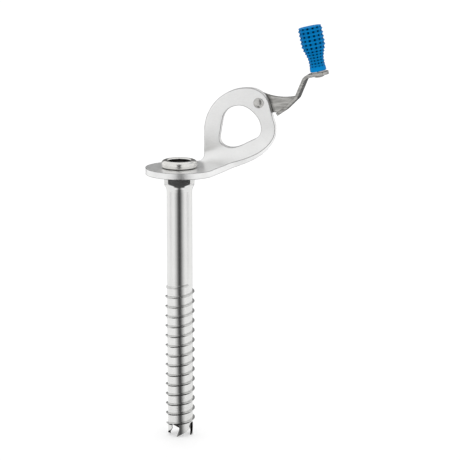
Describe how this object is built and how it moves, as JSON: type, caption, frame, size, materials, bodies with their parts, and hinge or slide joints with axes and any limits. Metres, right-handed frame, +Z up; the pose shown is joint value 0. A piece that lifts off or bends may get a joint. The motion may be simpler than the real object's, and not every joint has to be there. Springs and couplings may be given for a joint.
{
  "type": "ice screw",
  "caption": "Hollow threaded steel ice screw with toothed crown, karabiner hanger and a fold-out crank with a spinning studded knob.",
  "frame": {"origin": "tube axis at the underside of the hanger plate, where the ice surface is when the screw is fully in", "axes": "+Z up the tube axis from the teeth to the head, +X along the hanger eye, +Y from the tube axis to the eye sheet"},
  "size_m": [0.1104, 0.0588, 0.2631],
  "materials": {
    "tube_steel": "satin",
    "hanger_steel": "satin",
    "polished_steel": "polished",
    "washer_steel": "satin",
    "crank_steel": "satin",
    "knob_plastic": "satin"
  },
  "bodies": {
    "screw": {"screw_tube": "tube_steel", "hanger": "hanger_steel", "head_collar": "polished_steel", "pivot_rivet": "polished_steel", "spring_washer": "washer_steel", "pivot_washer": "washer_steel"},
    "crank": {"crank_arm": "crank_steel", "knob_axle": "polished_steel", "knob_washer": "washer_steel", "retaining_washer": "washer_steel"},
    "knob": {"knob_grip": "knob_plastic", "knob_cap": "knob_plastic"}
  },
  "joints": [
    {"name": "crank_fold", "type": "hinge", "parent": "screw", "child": "crank", "pos_m": [0.044, 0.03, 0.0423], "axis": [0, -1, 0], "range_deg": [0, 150]},
    {"name": "knob_spin", "type": "hinge", "parent": "crank", "child": "knob", "pos_m": [0.0824, 0.02965, 0.0631], "axis": [-0.2079, 0, 0.9781], "continuous": true}
  ]
}
